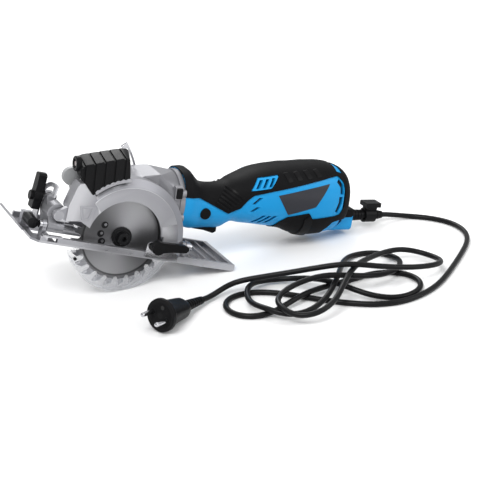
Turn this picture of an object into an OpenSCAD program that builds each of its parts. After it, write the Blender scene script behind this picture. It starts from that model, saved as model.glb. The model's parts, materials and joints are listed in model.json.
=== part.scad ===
// Inline-grip mini circular saw with a laser guide, in millimetres.
// Row frame: +X towards the cord end, +Y away from the blade side, +Z up, floor at z = 0.
// The head is modelled about the blade centre with X along the motor axis.
// The base is modelled about the same point with X along its sole.

/* [Blade] */
// Outer diameter of the blade
blade_d = 115; // [110:1:120]
// Number of blade teeth
tooth_count = 24; // [18:2:30]
// Thickness of the blade plate
blade_t = 1.4; // [1:0.1:1.6]
// Diameter of the blade's bore
blade_bore = 9.5; // [9.5:0.1:10]

/* [Guards] */
// Outer radius of the lower guard
guard_r = 61; // [60.5:0.1:61.5]
// Wall of the clear lower guard
guard_wall = 1.2; // [1:0.1:1.4]
// Radius of the window in the upper guard
window_r = 43; // [40:0.5:44]

/* [Base plate] */
// Height of the blade centre above the sole at full depth
sole_drop = 15; // [14.5:0.1:15.5]
// Rear end of the base, behind the blade centre
base_rear = 138; // [130:1:145]
// Front end of the flat part, ahead of the blade centre
base_front = 104; // [102:1:106]
// Near side of the base
base_near = 17.5; // [17.5:0.5:19]
// Far side of the base
base_far = 62; // [61:0.5:66]
// Thickness of the base sheet
base_t = 2.5; // [2:0.1:2.6]
// Angle between the base and the motor axis at full depth
head_lift = 10; // [9:0.5:11]

/* [Motor housing] */
// Wall of the housing shells
shell_wall = 2.5; // [2:0.1:3]
// Thickness of the soft grip over the shells
grip_t = 1.2; // [0.8:0.1:1.6]
// Outer radius of the stator
stator_r = 26; // [24:0.5:27]

/* [Drive] */
// Teeth on the motor pinion
pinion_n = 8; // [8:1:8]
// Teeth on the crown wheel
crown_n = 32; // [32:8:32]
// Teeth on each of the three spur gears
spur_n = 16; // [16:1:16]
// Module of the gears
gear_m = 1.2; // [1.2:0.1:1.2]

/* [Cord] */
// Diameter of the mains cord
cord_d = 6.2; // [5.8:0.1:7]
// Pin spacing of the plug
pin_pitch = 19; // [19:0.1:19]

/* [Hidden] */
$fn = 48;

// Where things are
blade_r = blade_d / 2;
clear = 0.04;
motor_y = 30;
motor_z = 34;
pivot_b = [-79, 14];
bevel_y = -3;
bevel_z = 1;
quad_r = 37.4;
quad_a = 35;
strap_r = 108.5;
strap_y = 54.5;
row_x = -118.3;
row_y = -19.75;

// The tool rests on the lower guard and on the rear edge of its sole
base_pitch = asin(guard_r / norm([base_rear, sole_drop])) - atan2(sole_drop, base_rear);
head_pitch = base_pitch - head_lift;

module at_head() {
    translate([row_x, row_y, guard_r]) rotate([0, head_pitch, 0]) children();
}
module at_base() {
    translate([row_x, row_y, guard_r]) rotate([0, base_pitch, 0]) children();
}
// A point of the base frame, seen from the head frame
function to_head(p) = [p[0] * cos(head_lift) + p[1] * sin(head_lift),
    -p[0] * sin(head_lift) + p[1] * cos(head_lift)];
pivot_h = to_head(pivot_b);

// Extrude an outline given in X and Z along Y, from y0 to y1
module slab(y0, y1) {
    translate([0, y1, 0]) rotate([90, 0, 0]) linear_extrude(y1 - y0) children();
}
// Extrude an outline given in Y and Z along X, from x0 to x1
module wall_x(x0, x1) {
    translate([x0, 0, 0]) rotate([90, 0, 90]) linear_extrude(x1 - x0) children();
}
// Cylinders along Y and along X
module ycyl(r, y0, y1, x = 0, z = 0) {
    translate([x, y1, z]) rotate([90, 0, 0]) cylinder(r = r, h = y1 - y0);
}
module xcyl(r, x0, x1, y = 0, z = 0) {
    translate([x0, y, z]) rotate([0, 90, 0]) cylinder(r = r, h = x1 - x0);
}
module box(a, b) {
    translate(a) cube([b[0] - a[0], b[1] - a[1], b[2] - a[2]]);
}
module yring(r_out, r_in, y0, y1, x = 0, z = 0) {
    difference() {
        ycyl(r_out, y0, y1, x, z);
        ycyl(r_in, y0 - 1, y1 + 1, x, z);
    }
}
module xring(r_out, r_in, x0, x1, y = 0, z = 0) {
    difference() {
        xcyl(r_out, x0, x1, y, z);
        xcyl(r_in, x0 - 1, x1 + 1, y, z);
    }
}
// Angular sector of a disc as an outline, from a0 to a1 degrees
module sector(r, a0, a1, step = 10) {
    n = ceil((a1 - a0) / step);
    polygon(concat([[0, 0]],
        [for (i = [0 : n]) let(a = a0 + (a1 - a0) * i / n) r * [cos(a), sin(a)]]));
}
// Straight-sided gear outline that leaves backlash on both flanks
module gear_outline(n, m) {
    pitch = 360 / n;
    r = n * m / 2;
    polygon([for (i = [0 : n - 1]) for (p = [[-0.27, -1.2], [-0.1, 0.9], [0.1, 0.9], [0.27, -1.2]])
        (r + p[1] * m) * [cos((i + p[0]) * pitch), sin((i + p[0]) * pitch)]]);
}
// Outline of a slotted arc or of its slot
module arc_band(r_out, r_in, a0, a1) {
    difference() {
        intersection() {
            circle(r_out, $fn = 96);
            sector(r_out * 1.3, a0, a1);
        }
        circle(r_in, $fn = 96);
    }
}

// ---------- blade and spindle ----------
// One tooth in polar form: angle as a part of the pitch, and radius
tooth_pitch = 360 / tooth_count;
tip_w = 0.14;
TOOTH = [[-tip_w, blade_r - 0.6], [-tip_w - 0.06, blade_r - 5], [-0.06, blade_r - 5],
    [-0.1, blade_r - 9], [0.08, blade_r - 11.5], [0.28, blade_r - 10.5], [0.4, blade_r - 7],
    [0.44, blade_r - 4]];
// Angles run clockwise as seen from the blade side, the way the blade turns
function tooth_point(i, p) = let(a = 180 - (i + p[0]) * tooth_pitch) p[1] * [cos(a), sin(a)];

module saw_blade() color([0.36, 0.37, 0.4]) at_head() difference() {
    slab(-blade_t / 2, blade_t / 2)
        polygon([for (i = [0 : tooth_count - 1]) for (p = TOOTH) tooth_point(i, p)]);
    ycyl(blade_bore / 2, -5, 5);
}
module blade_tips() color("silver") at_head() slab(-1.1, 1.1)
    for (i = [0 : tooth_count - 1]) polygon([for (p = [TOOTH[0], TOOTH[1], TOOTH[2], [0, blade_r]])
        tooth_point(i, p)]);
module inner_flange() color("dimgray") at_head() yring(12, 4.75, blade_t / 2, 4);
module outer_flange() color([0.06, 0.06, 0.07]) at_head() difference() {
    union() {
        ycyl(11.4, -3.2, -blade_t / 2);
        ycyl(8.5, -4.2, -3.2);
    }
    ycyl(3.1, -5, 0);
}
module arbor_bolt() color([0.08, 0.08, 0.09]) at_head() difference() {
    union() {
        ycyl(6.6, -9.8, -4.2);
        ycyl(3, -4.2, 12);
    }
    translate([0, -6, 0]) rotate([90, 0, 0]) cylinder(r = 3, h = 5, $fn = 6);
}
module spindle() color("lightgray") at_head() difference() {
    union() {
        ycyl(4.7, -blade_t / 2, 5);
        ycyl(5.5, 5, 9);
        ycyl(4 - clear, 9, 33);
        spur(0, 0, line_a, 3.5);
    }
    ycyl(3, -2, 14);
}

// ---------- gears ----------
counter_x = sqrt(pow(2 * spur_n * gear_m, 2) - motor_z * motor_z);
idler = [counter_x / 2, motor_z / 2];
line_a = atan2(motor_z, counter_x);
half_tooth = 180 / spur_n;
// Y spans of the spur gears and of the crown wheel
spur_y = [17.5, 24.5];
crown_y = 35.8;
module spur(x, z, turn, bore) slab(spur_y[0], spur_y[1]) translate([x, z]) difference() {
    rotate(turn) gear_outline(spur_n, gear_m);
    circle(bore);
}
module counter_gear() color("silver") at_head() spur(counter_x, motor_z, line_a, 4);
module idler_gear() color("silver") at_head()
    spur(idler[0], idler[1], line_a + half_tooth, 3 + clear);
module idler_pin() color("gray") at_head() ycyl(3, 12, 30, idler[0], idler[1]);
module counter_shaft() color("lightgray") at_head()
    ycyl(4 - clear, 12, 47, counter_x, motor_z);
crown_r = crown_n * gear_m / 2;
crown_w = 2.5;
module crown_wheel() color("silver") at_head() difference() {
    union() {
        ycyl(crown_r + crown_w, crown_y + 1.7, 41, counter_x, motor_z);
        for (i = [0 : crown_n - 1]) translate([counter_x, 0, motor_z])
            rotate([0, (i + 0.5) * 360 / crown_n, 0])
                box([crown_r - crown_w, crown_y - 0.9, -0.64], [crown_r + crown_w, crown_y + 1.8, 0.64]);
    }
    ycyl(4 - clear, 30, 45, counter_x, motor_z);
}
pinion_x = counter_x + crown_r;

// ---------- motor ----------
module armature_shaft() color("lightgray") at_head() union() {
    xcyl(4 - clear, pinion_x - crown_w - 0.5, 272, motor_y, motor_z);
    wall_x(pinion_x - crown_w, pinion_x + crown_w + 1) translate([motor_y, motor_z])
        pinion_outline();
}
// The pinion's teeth are narrow paddles, which run between the crown wheel's bars
module pinion_outline() {
    circle(4);
    for (i = [0 : pinion_n - 1]) rotate(90 + i * 360 / pinion_n)
        translate([3, -0.58]) square([pinion_n * gear_m / 2 + 0.9 - 3, 1.16]);
}
module armature_core() color([0.55, 0.35, 0.2]) at_head() difference() {
    union() {
        difference() {
            xcyl(16, 190, 234, motor_y, motor_z);
            for (i = [0 : 11]) translate([0, motor_y, motor_z]) rotate([i * 30, 0, 0])
                box([189, -1, 11], [235, 1, 17]);
        }
        xring(14, 6, 182, 190, motor_y, motor_z);
        xring(14, 6, 234, 242, motor_y, motor_z);
    }
    xcyl(4 - clear, 180, 245, motor_y, motor_z);
}
module commutator() color([0.75, 0.45, 0.25]) at_head() xring(11, 4 - clear, 244, 258, motor_y, motor_z);
fan_r = 26;
module fan() color("dimgray") at_head() difference() {
    union() {
        xcyl(fan_r, 162, 163.5, motor_y, motor_z);
        xcyl(8, 162, 174, motor_y, motor_z);
        for (i = [0 : 10]) translate([0, motor_y, motor_z]) rotate([i * 360 / 11, 0, 0])
            box([163, -0.7, 7], [173, 0.7, fan_r - 1]);
    }
    xcyl(4 - clear, 160, 176, motor_y, motor_z);
}
module stator() color("slategray") at_head() difference() {
    union() {
        xcyl(stator_r, 190, 234, motor_y, motor_z);
        for (x = [200, 222]) xcyl(31, x, x + 4, motor_y, motor_z);
    }
    xcyl(17, 188, 236, motor_y, motor_z);
}
module field_coils() color([0.7, 0.4, 0.2]) at_head() for (x = [182, 234.2])
    xring(stator_r - 1.5, 17, x, x + 7.6, motor_y, motor_z);
module motor_bearings() color("silver") at_head() for (x = [46, 148, 263])
    xring(11, 4, x, x + 7, motor_y, motor_z);
module gear_bearings() color("silver") at_head() {
    yring(11, 4, 9.5, 16.5);
    yring(8, 4, 26, 33);
    for (y = [12, 42]) yring(8, 4, y, y + 5, counter_x, motor_z);
}
module brush_holders() color([0.75, 0.6, 0.3]) at_head() for (s = [-1, 1])
    translate([251, motor_y, motor_z]) difference() {
        box([-5, s > 0 ? 12 : -27, -5], [5, s > 0 ? 27 : -12, 5]);
        box([-3.5, s > 0 ? 11 : -25, -3.5], [3.5, s > 0 ? 25 : -11, 3.5]);
    }
module brushes() color([0.15, 0.15, 0.15]) at_head() for (s = [-1, 1])
    translate([251, motor_y + s * 17.2, motor_z]) cube([6.8, 12, 6.8], center = true);
module switch_body() color("dimgray") at_head() box([109, 22, 11], [135, 38, 27]);

// ---------- guards ----------
pin_r = 3.65;
window_y = -7.5;
wall_y = 5.5;
guard_in = 62.5;
ridge = [3.5, -1];
hub_r = 13;
// Outline of the fixed guard: front block, arc over the blade, straight end above the sole
module guard_region() polygon([[-52, 21.8], [-68, 22.2], [-80, 22.2], [-80, 80], [80, 80], [80, -5.5],
    [16, -5.5], [0, -17], [-16, -5.5], [-41.9, 14.8]]);
module block_outline() polygon([[-40, 56], [-50.8, 63.2], [-55, 63.2], [-58.2, 59.5],
    [-66.1, 38.7], [-68, 22.2], [-52, 21.8], [-41.9, 14.8], [-30, 30]]);
module upper_guard() color("gainsboro") at_head() difference() {
    union() {
        intersection() {
            union() {
                translate([ridge[0], -4.5, ridge[1]]) rotate([90, 0, 0])
                    cylinder(r1 = 68, r2 = 59.5, h = 5.5);
                ycyl(68, -4.5, 8, ridge[0], ridge[1]);
            }
            slab(-11, 9) guard_region();
        }
        slab(-10, 8) block_outline();
        slab(-8.5, -2.5) polygon([[-64, 20], [-64, 38], [-75.4, 33.1], [-80.9, 27.5], [-75.4, 21.9]]);
        ycyl(5.6, -9, -1.5, pivot_h[0], pivot_h[1]);
    }
    ycyl(guard_in, window_y, wall_y);
    slab(-12, window_y + 1) union() {
        circle(window_r, $fn = 96);
        translate([0, -20]) square([46, 22]);
    }
    ycyl(11.6, -1.5, 10, pivot_h[0], pivot_h[1]);
    ycyl(pin_r, -6, 0, pivot_h[0], pivot_h[1]);
    ycyl(16, 5, 9);
}
module bearing_plate() color("lightgray") at_head() difference() {
    union() {
        ycyl(16, wall_y, 8);
        ycyl(hub_r, 4.2, wall_y);
    }
    ycyl(12.3, 0, 5);
    ycyl(5.6, 0, 9);
}
module lower_guard() color([0.85, 0.9, 0.92, 0.6]) at_head() union() {
    slab(-6.5, -6.5 + guard_wall) arc_band(guard_r, 47, -160, 15);
    slab(-6.5, 4.5) arc_band(guard_r, guard_r - guard_wall, -160, 15);
    slab(4.5 - guard_wall, 4.5) arc_band(guard_r, hub_r + 2, -165, 15);
    yring(17, hub_r + clear, 3.3, 5.3);
}
module guard_pin() color([0.1, 0.1, 0.1]) at_head() rotate([0, 158, 0]) ycyl(1.8, -8.3, -6.5, 57, 0);

// ---------- gear case ----------
// Spans of the spindle lock's button
lock_x = [59.5, 66];
lock_z = [43, 54.5];
case_x = 66;
flange_x = 71;
flange_z = 35.5;
flange_r = 31.8;
// Fixing bosses of the case: Y, Z and the start of the screw
BOSSES = [[2, 48, 66.3], [2, 20, 69.3], [58, 48, 63], [58, 18.5, 63]];
module gear_case() color("darkgray") at_head() difference() {
    union() {
        ycyl(12.2, 8, 26);
        ycyl(10, 25, 35);
        slab(8, 47) polygon([[-8, 20], [-8, 50], [13, 61], [23, 66], [42, 68], [42, 12], [30, 9], [6, 6]]);
        hull() {
            box([40, 8, 12], [42, 50, 67]);
            xcyl(flange_r - 1.5, case_x - 2, case_x, motor_y, flange_z, $fn = 32);
        }
        xcyl(flange_r, case_x - 0.5, flange_x, motor_y, flange_z);
        for (b = BOSSES) xcyl(4.4, case_x - 5, flange_x, b[0], b[1]);
        box([lock_x[0] - 1.5, -1, lock_z[0] - 1.5], [lock_x[1] + 0.2, 16, lock_z[1] + 1.5]);
    }
    ycyl(68 + clear, -12, 8, ridge[0], ridge[1]);
    ycyl(9, 7, 10);
    ycyl(11, 9.5, 17);
    for (p = [[0, 0], idler, [counter_x, motor_z]]) ycyl(11.4, 17, 24.9, p[0], p[1]);
    ycyl(5, 24, 27);
    ycyl(8, 26, 33);
    ycyl(8, 12, 18, counter_x, motor_z);
    ycyl(5, 24, 34, counter_x, motor_z);
    ycyl(22.6, 33.2, 48, counter_x, motor_z);
    ycyl(3, 12, 30, idler[0], idler[1]);
    xcyl(6.6, 32, 47, motor_y, motor_z);
    xcyl(11, 46, 53, motor_y, motor_z);
    xcyl(5, 52, 60, motor_y, motor_z);
    xcyl(22, 57, 80, motor_y, flange_z);
    box([lock_x[0] - clear, -4, lock_z[0] - clear], [lock_x[1] + clear, 9, lock_z[1] + clear]);
    for (b = BOSSES) {
        xcyl(2, b[2] - 1, 80, b[0], b[1]);
        xcyl(3.2 + clear, b[2] - 4, b[2] + 1.6, b[0], b[1]);
    }
}
clamp_h = to_head(pivot_b + strap_r * [cos(8), sin(8)]);
module gear_cover() color("gray") at_head() difference() {
    union() {
        slab(47, 51) polygon([[-8, 20], [-8, 50], [13, 61], [23, 66], [40, 67], [40, 12], [30, 9], [6, 6]]);
        ycyl(10.5, 42, 47, counter_x, motor_z);
        ycyl(6.8, 50, 54, clamp_h[0], clamp_h[1]);
    }
    ycyl(8, 41, 47, counter_x, motor_z);
    ycyl(3 + clear, 48, 55, clamp_h[0], clamp_h[1]);
}
module case_screws() color("silver") at_head() for (b = BOSSES) difference() {
    union() {
        xcyl(3.2, b[2], b[2] + 1.6, b[0], b[1]);
        xcyl(2, b[2] + 1.5, flange_x, b[0], b[1]);
    }
    translate([b[2] - 1, b[0], b[1]]) rotate([0, 90, 0]) cylinder(r = 1.8, h = 2, $fn = 6);
}

// ---------- motor housing ----------
// Stations along X: position, centre height, half height, half width, squareness
STATIONS = [[71, 35.2, 32.8, 30.6, 2.6], [81, 35.2, 33, 30.6, 2.6], [88, 31, 30.8, 28, 2.5],
    [97, 26.8, 26.8, 25.2, 2.3], [112, 25.2, 25.2, 24, 2.2], [126, 25.9, 25.6, 24, 2.2],
    [133, 29.2, 24.8, 24.5, 2.2], [138, 32.1, 24.9, 25.5, 2.3], [150, 34.1, 27.9, 29, 2.4],
    [164, 36.4, 31.4, 31.5, 2.5], [180, 37.2, 34.3, 33, 2.5], [200, 37.5, 36.5, 34, 2.6],
    [217, 35, 40, 34.5, 2.6], [236, 34, 42.5, 35, 2.6], [256, 34.5, 42, 34.5, 2.6],
    [269, 34.5, 40, 33, 2.6], [275, 34.5, 38, 31.8, 2.6], [279, 34.5, 36.5, 30.5, 2.6],
    [285.5, 34, 31, 27, 2.5], [289, 34, 24, 22, 2.4]];
shell_n = 16;
// Point of a station's outline at angle a, grown by g
function ring_yz(st, a, g) = [
    motor_y + (st[3] + g) * sign(cos(a)) * pow(abs(cos(a)), 2 / st[4]),
    st[1] + (st[2] + g) * sign(sin(a)) * pow(abs(sin(a)), 2 / st[4])];
// Shell swept over stations; span(i) gives the two end angles as pairs in SPANS
module shell(sts, spans, g_out, g_in, n = 12) {
    m = 2 * (n + 1);
    pts = [for (i = [0 : len(sts) - 1]) for (k = [0 : m - 1]) let(
        j = k <= n ? k : m - 1 - k,
        a = spans[i][0] + (spans[i][1] - spans[i][0]) * j / n,
        p = ring_yz(sts[i], a, k <= n ? g_out : g_in)) [sts[i][0], p[0], p[1]]];
    last = (len(sts) - 1) * m;
    polyhedron(pts, concat(
        [for (i = [0 : len(sts) - 2]) for (k = [0 : m - 1])
            [i * m + k, i * m + (k + 1) % m, (i + 1) * m + (k + 1) % m, (i + 1) * m + k]],
        [for (k = [0 : n - 1]) [k, m - 1 - k, m - 2 - k, k + 1]],
        [for (k = [0 : n - 1]) [last + k, last + k + 1, last + m - 2 - k, last + m - 1 - k]]));
}
function slice(v, a, b) = [for (i = [a : b]) v[i]];
function same(n, s) = [for (i = [1 : n]) s];
lock_r = 6.4;
lock_at = [100, 23];
module half_shell(side) difference() {
    shell(slice(STATIONS, 0, shell_n), same(shell_n + 1, side > 0 ? [90, 270] : [-90, 90]),
        0, -shell_wall);
    ycyl(lock_r + clear, -5, 65, lock_at[0], lock_at[1]);
    box([93, 21.5, -5], [128, 38.5, 6]);
}
module housing_near() color([0.1, 0.5, 0.62]) at_head() half_shell(1);
module housing_far() color([0.1, 0.5, 0.62]) at_head() half_shell(-1);
// Discs that hold the shaft bearings in the shells
module motor_brackets() color("gray") at_head() {
    xring(24.5, 11, 149, 152, motor_y, motor_z);
    xring(29.5, 11, 264, 267, motor_y, motor_z);
}

// Height of the line between the soft grip and the shell, at each station
SPLIT_Z = [44, 43.5, 42.8, 39, 31, 23, 24, 27, 40, 47.5, 51, 55, 58.5, 63.4, 67.5];
grip_n = 14;
function side_angle(st, z) = let(u = (z - st[1]) / st[2]) asin(sign(u) * pow(abs(u), st[4] / 2));
module grip(side) shell(slice(STATIONS, 0, grip_n),
    [for (i = [0 : grip_n]) let(a = side_angle(STATIONS[i], SPLIT_Z[i]))
        side > 0 ? [90, 180 - a] : [a, 90]], grip_t, 0, 10);
module grip_holes() ycyl(lock_r + 1, -5, 65, lock_at[0], lock_at[1]);
module grip_near() color([0.13, 0.13, 0.14]) at_head() difference() {
    grip(1);
    grip_holes();
}
module grip_far() color([0.13, 0.13, 0.14]) at_head() difference() {
    grip(-1);
    grip_holes();
}
module under_grip() color([0.13, 0.13, 0.14]) at_head()
    shell(slice(STATIONS, 11, grip_n), same(4, [222, 318]), grip_t, 0, 10);
// Closed loft over stations, grown by g
module body_loft(sts, g) {
    m = 24;
    last = (len(sts) - 1) * m;
    polyhedron([for (st = sts) for (k = [0 : m - 1]) let(p = ring_yz(st, k * 360 / m, g))
        [st[0], p[0], p[1]]], concat(
        [for (i = [0 : len(sts) - 2]) for (k = [0 : m - 1])
            [i * m + k, (i + 1) * m + k, (i + 1) * m + (k + 1) % m, i * m + (k + 1) % m]],
        [[for (k = [0 : m - 1]) k]], [[for (k = [m - 1 : -1 : 0]) last + k]]));
}
module end_cap() color([0.1, 0.1, 0.11]) at_head() difference() {
    body_loft(slice(STATIONS, shell_n, 19), 0);
    body_loft([[274, 34.5, 35, 29, 2.6], [279, 34.5, 33.5, 27.5, 2.6], [284.5, 34, 28, 24, 2.5]], 0);
}
chin_low = -4.8;
chin_round = 8;
module chin_outline() {
    for (y = [20, 40]) translate([y, chin_low + chin_round]) circle(chin_round);
    translate([12, chin_low + chin_round]) square([36, 12 + chin_round]);
    translate([20, chin_low]) square([20, 10]);
}
boot_z = 10;
module cord_chin() color([0.1, 0.5, 0.62]) at_head() difference() {
    wall_x(256, 301) chin_outline();
    body_loft(slice(STATIONS, grip_n, 19), 0.05);
    xcyl(7, 292, 302, motor_y, boot_z);
}
module cord_boot() color([0.08, 0.08, 0.09]) at_head() union() {
    xcyl(7, 292, 346, motor_y, boot_z);
    translate([346, motor_y, boot_z]) rotate([0, 90, 0]) cylinder(r1 = 7, r2 = 4.5, h = 8);
}
module hex_key_holder() color([0.1, 0.1, 0.11]) at_head() union() {
    xring(8.8, 7, 327, 342, motor_y, boot_z);
    box([328, 25, 17.5], [343, 35, 22]);
    box([325, 22, 21.5], [346, 38, 27]);
}

// ---------- laser, dust port and head controls ----------
module laser_housing() color([0.09, 0.09, 0.1]) at_head() difference() {
    slab(-12, 14) polygon([[-60.5, 74], [-60.5, 87], [-56.5, 91], [-9, 99.5], [1, 97.5], [4, 92],
        [4, 50], [-39.5, 50], [-40, 56.1], [-50.8, 63.25], [-55.2, 63.25]]);
    ycyl(68, -13, 15, ridge[0], ridge[1]);
    for (i = [0 : 4]) translate([-50 + i * 10, -13, 92.4 + i * 1.8]) box([0, 0, 0], [2, 28, 12]);
    xcyl(5, -61, -54, 1, 80);
    box([-27, 10, 79], [-9, 15, 87]);
}
module laser_lens() color([0.5, 0.1, 0.1]) at_head() xcyl(5, -59.5, -55, 1, 80);
module laser_switch() color([0.2, 0.2, 0.2]) at_head() box([-26, 10.1, 79.2], [-16, 16, 86.8]);
module dust_port() color("gray") at_head() difference() {
    union() {
        ycyl(9.8, 14.2, 20.3, -57, 63.5);
        slab(8, 17) polygon([[-60, 56], [-50, 54], [-46, 44], [-55, 42]]);
    }
    ycyl(8, 16, 21, -57, 63.5);
}
module trigger() color([0.1, 0.1, 0.11]) at_head() difference() {
    slab(22, 38) polygon([[94, 5], [94, 0], [109, -2.6], [121, -6.6], [125, -4.5], [125, 4], [119, 5]]);
    ycyl(1.5, 20, 40, 100, 2.5);
}
module lock_button() color([0.1, 0.1, 0.11]) at_head() union() {
    ycyl(lock_r, 3, 10, lock_at[0], lock_at[1]);
    ycyl(3, 10, 50, lock_at[0], lock_at[1]);
    ycyl(lock_r, 50, 57, lock_at[0], lock_at[1]);
}
module spindle_lock() color([0.08, 0.08, 0.09]) at_head()
    box([lock_x[0], -3.5, lock_z[0]], [lock_x[1], 4.5, lock_z[1]]);

// ---------- front carrier, rear bracket and depth clamp ----------
bolt_y = bevel_y + quad_r * cos(quad_a);
bolt_z = bevel_z + quad_r * sin(quad_a);
module front_carrier() color("gray") at_base() difference() {
    union() {
        ycyl(10.6, -1, 18.8, pivot_b[0], pivot_b[1]);
        xcyl(5.5, -88, -70, bevel_y, bevel_z);
        xcyl(8, -88, -79.5, bolt_y, bolt_z);
        wall_x(-88, -79.5) polygon([[-8, -3], [-8, 4], [16, 27], [bolt_y - 3, bolt_z + 7],
            [bolt_y + 6, bolt_z - 5], [14, -5], [0, -5]]);
        box([-82, 7, -7], [-64, 17.4, 6]);
        xcyl(3.6, -64, -45, 12.2, -3);
    }
    ycyl(pin_r + 0.05, -2, 20, pivot_b[0], pivot_b[1]);
    ycyl(6.2, -9.5, -1, pivot_b[0], pivot_b[1]);
    ycyl(5.4, 18.9, 23, pivot_b[0], pivot_b[1]);
    xcyl(2.5 + clear, -90, -60, bevel_y, bevel_z);
    xcyl(3, -90, -78, bolt_y, bolt_z);
}
module rear_bracket() color("dimgray") at_base() difference() {
    union() {
        xcyl(5.5, 72.5, 76.5, bevel_y, bevel_z);
        box([72.5, bevel_y, -8], [76.5, strap_y, -1]);
        box([26, 50.8, -8], [76.5, strap_y, -2]);
    }
    xcyl(2.5 + clear, 70, 80, bevel_y, bevel_z);
}
module depth_quadrant() color("silver") at_base() slab(strap_y, strap_y + 3) translate(pivot_b)
    difference() {
        arc_band(strap_r + 4, strap_r - 4, -12, 44);
        arc_band(strap_r + 1.6, strap_r - 1.6, 4, 41);
    }
module pivot_pin() color("silver") at_head() difference() {
    union() {
        ycyl(pin_r, -6, 19.5, pivot_h[0], pivot_h[1]);
        ycyl(5, 19.5, 22, pivot_h[0], pivot_h[1]);
    }
    translate([pivot_h[0], -4, pivot_h[1]]) rotate([90, 0, 0]) cylinder(r = 2, h = 3, $fn = 6);
}
module bevel_lever() color([0.08, 0.08, 0.09]) at_base() union() {
    xcyl(2.95, -101, -74, bolt_y, bolt_z);
    xcyl(8.5, -99.5, -90.4, bolt_y, bolt_z);
    xcyl(5, -103, -99.5, bolt_y, bolt_z);
    xcyl(6, -77, -74.5, bolt_y, bolt_z);
    wall_x(-99.5, -90.4) polygon([[bolt_y - 7, 9], [bolt_y + 7, 9], [bolt_y + 6, 46], [bolt_y + 3, 48],
        [bolt_y - 3, 48], [bolt_y - 6, 46]]);
}
module depth_knob() color([0.08, 0.08, 0.09]) at_head() union() {
    ycyl(3, 51.1, strap_y, clamp_h[0], clamp_h[1]);
    ycyl(1.5, strap_y, 58.5, clamp_h[0], clamp_h[1]);
    ycyl(9, 57.6, 66, clamp_h[0], clamp_h[1]);
    slab(60, 66) polygon([[clamp_h[0] - 7, clamp_h[1]], [clamp_h[0] + 7, clamp_h[1]],
        [clamp_h[0] + 4, clamp_h[1] + 26], [clamp_h[0] - 4, clamp_h[1] + 26]]);
}

// ---------- base ----------
sole_z = -sole_drop;
top_z = sole_z + base_t;
rail_z = top_z + 5;
module base_plate() color([0.93, 0.94, 0.95]) at_base() difference() {
    union() {
        difference() {
            box([-base_front, -base_near, sole_z], [base_rear, base_far, top_z]);
            box([-78, -12.5, -20], [70, 26, 0]);
            box([-97, 6, -20], [-83, 22, 0]);
            translate([0, 0, -20]) linear_extrude(20) polygon([[82, 1], [106, 1], [94, 25]]);
        }
        box([-base_front + 8, -base_near, sole_z], [base_rear, -base_near + 5, rail_z]);
        box([-94, -base_near, sole_z], [-72, -base_near + 5, rail_z + 1.3]);
        box([-base_front, base_far - 3.5, sole_z], [base_rear, base_far, rail_z]);
        for (x = [107, 120]) box([x, -14, sole_z], [x + 2, 60, -9]);
        box([base_rear - 6, -base_near, sole_z], [base_rear, base_far, rail_z]);
        slab(18, 60) polygon([[-base_front + 2, sole_z], [-base_front - 1, sole_z],
            [-base_front - 17, -2.5], [-base_front - 15.5, -0.5], [-base_front, top_z],
            [-base_front + 2, top_z]]);
        box([-93, -8, top_z - 1], [-89, 2, 1]);
        xcyl(5.5, -93, -89, bevel_y, bevel_z);
        box([77.2, -8.5, top_z - 1], [82, 2.5, 1]);
        xcyl(5.5, 77.2, 82, bevel_y, bevel_z);
        box([-106, 24, top_z - 1], [-95, 32, 4]);
    }
    translate([0, 0, -20]) linear_extrude(20)
        polygon([[-base_front - 1, -base_near - 1], [-base_front + 8, -base_near - 1],
            [-base_front - 1, -8]]);
    box([-88, -base_near - 1, -12.4], [-77, base_far + 1, -8.2]);
    for (x = [-95, 75]) xcyl(2.5, x, x + 8, bevel_y, bevel_z);
    ycyl(2.5 + clear, 22, 34, -100, -1);
}
module bevel_quadrant() color("silver") at_base() difference() {
    union() {
        wall_x(-90, -88.2) translate([bevel_y, bevel_z]) arc_band(45, 32, 20, 100);
        wall_x(-90, -88.2) polygon([[26.5, top_z], [44, top_z], [39.3, 16.4], [26.6, 11.8]]);
    }
    wall_x(-91, -87) translate([bevel_y, bevel_z]) arc_band(quad_r + 3, quad_r - 3, 27, 88);
}
module bevel_screws() color("silver") at_base() for (p = [[-93, -72, -96], [72.6, 82, 84.5]]) {
    xcyl(2.5, min(p[0], p[1]), max(p[0], p[1]), bevel_y, bevel_z);
    xcyl(4.4, min(p[2], p[2] < 0 ? -93 : 82), max(p[2], p[2] < 0 ? -93 : 82), bevel_y, bevel_z);
}
side_at = [35.5, 0.5];
module side_bracket() color("silver") at_base() difference() {
    slab(-base_near - 2, -base_near)
        polygon([[24, -13], [24, 2], [28, 5], [41, 5], [64, -6], [64, -13]]);
    ycyl(2.5, -21, -16, side_at[0], side_at[1]);
}
module side_lever() color([0.08, 0.08, 0.09]) at_base() union() {
    ycyl(7.5, -26.5, -base_near - 2, side_at[0], side_at[1]);
    ycyl(2.45, -20, -base_near, side_at[0], side_at[1]);
    slab(-25.5, -20.5)
        polygon([[37, -5.5], [34, 7], [48, 7.5], [67, 8], [71, 6.5], [72, 3], [69.5, 0], [51, -2]]);
}
module fence_knob() color([0.3, 0.3, 0.31]) at_base() union() {
    ycyl(6, 3, 22, -100, -1);
    ycyl(2.5, 22, 34, -100, -1);
}

// ---------- cord and plug ----------
boot_end = 354;
plug_face = [-5, -119.5, 18.8];
plug_len = 72;
plug_turn = 30;
plug_dip = 9;
plug_back = [cos(plug_turn) * cos(plug_dip), sin(plug_turn) * cos(plug_dip), -sin(plug_dip)];
cord_out = [cos(head_pitch), 0, -sin(head_pitch)];
cord_start = [0, motor_y, guard_r] + boot_end * cord_out + boot_z * [sin(head_pitch), 0, cos(head_pitch)];
cord_end = plug_face + plug_len * plug_back;
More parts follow.
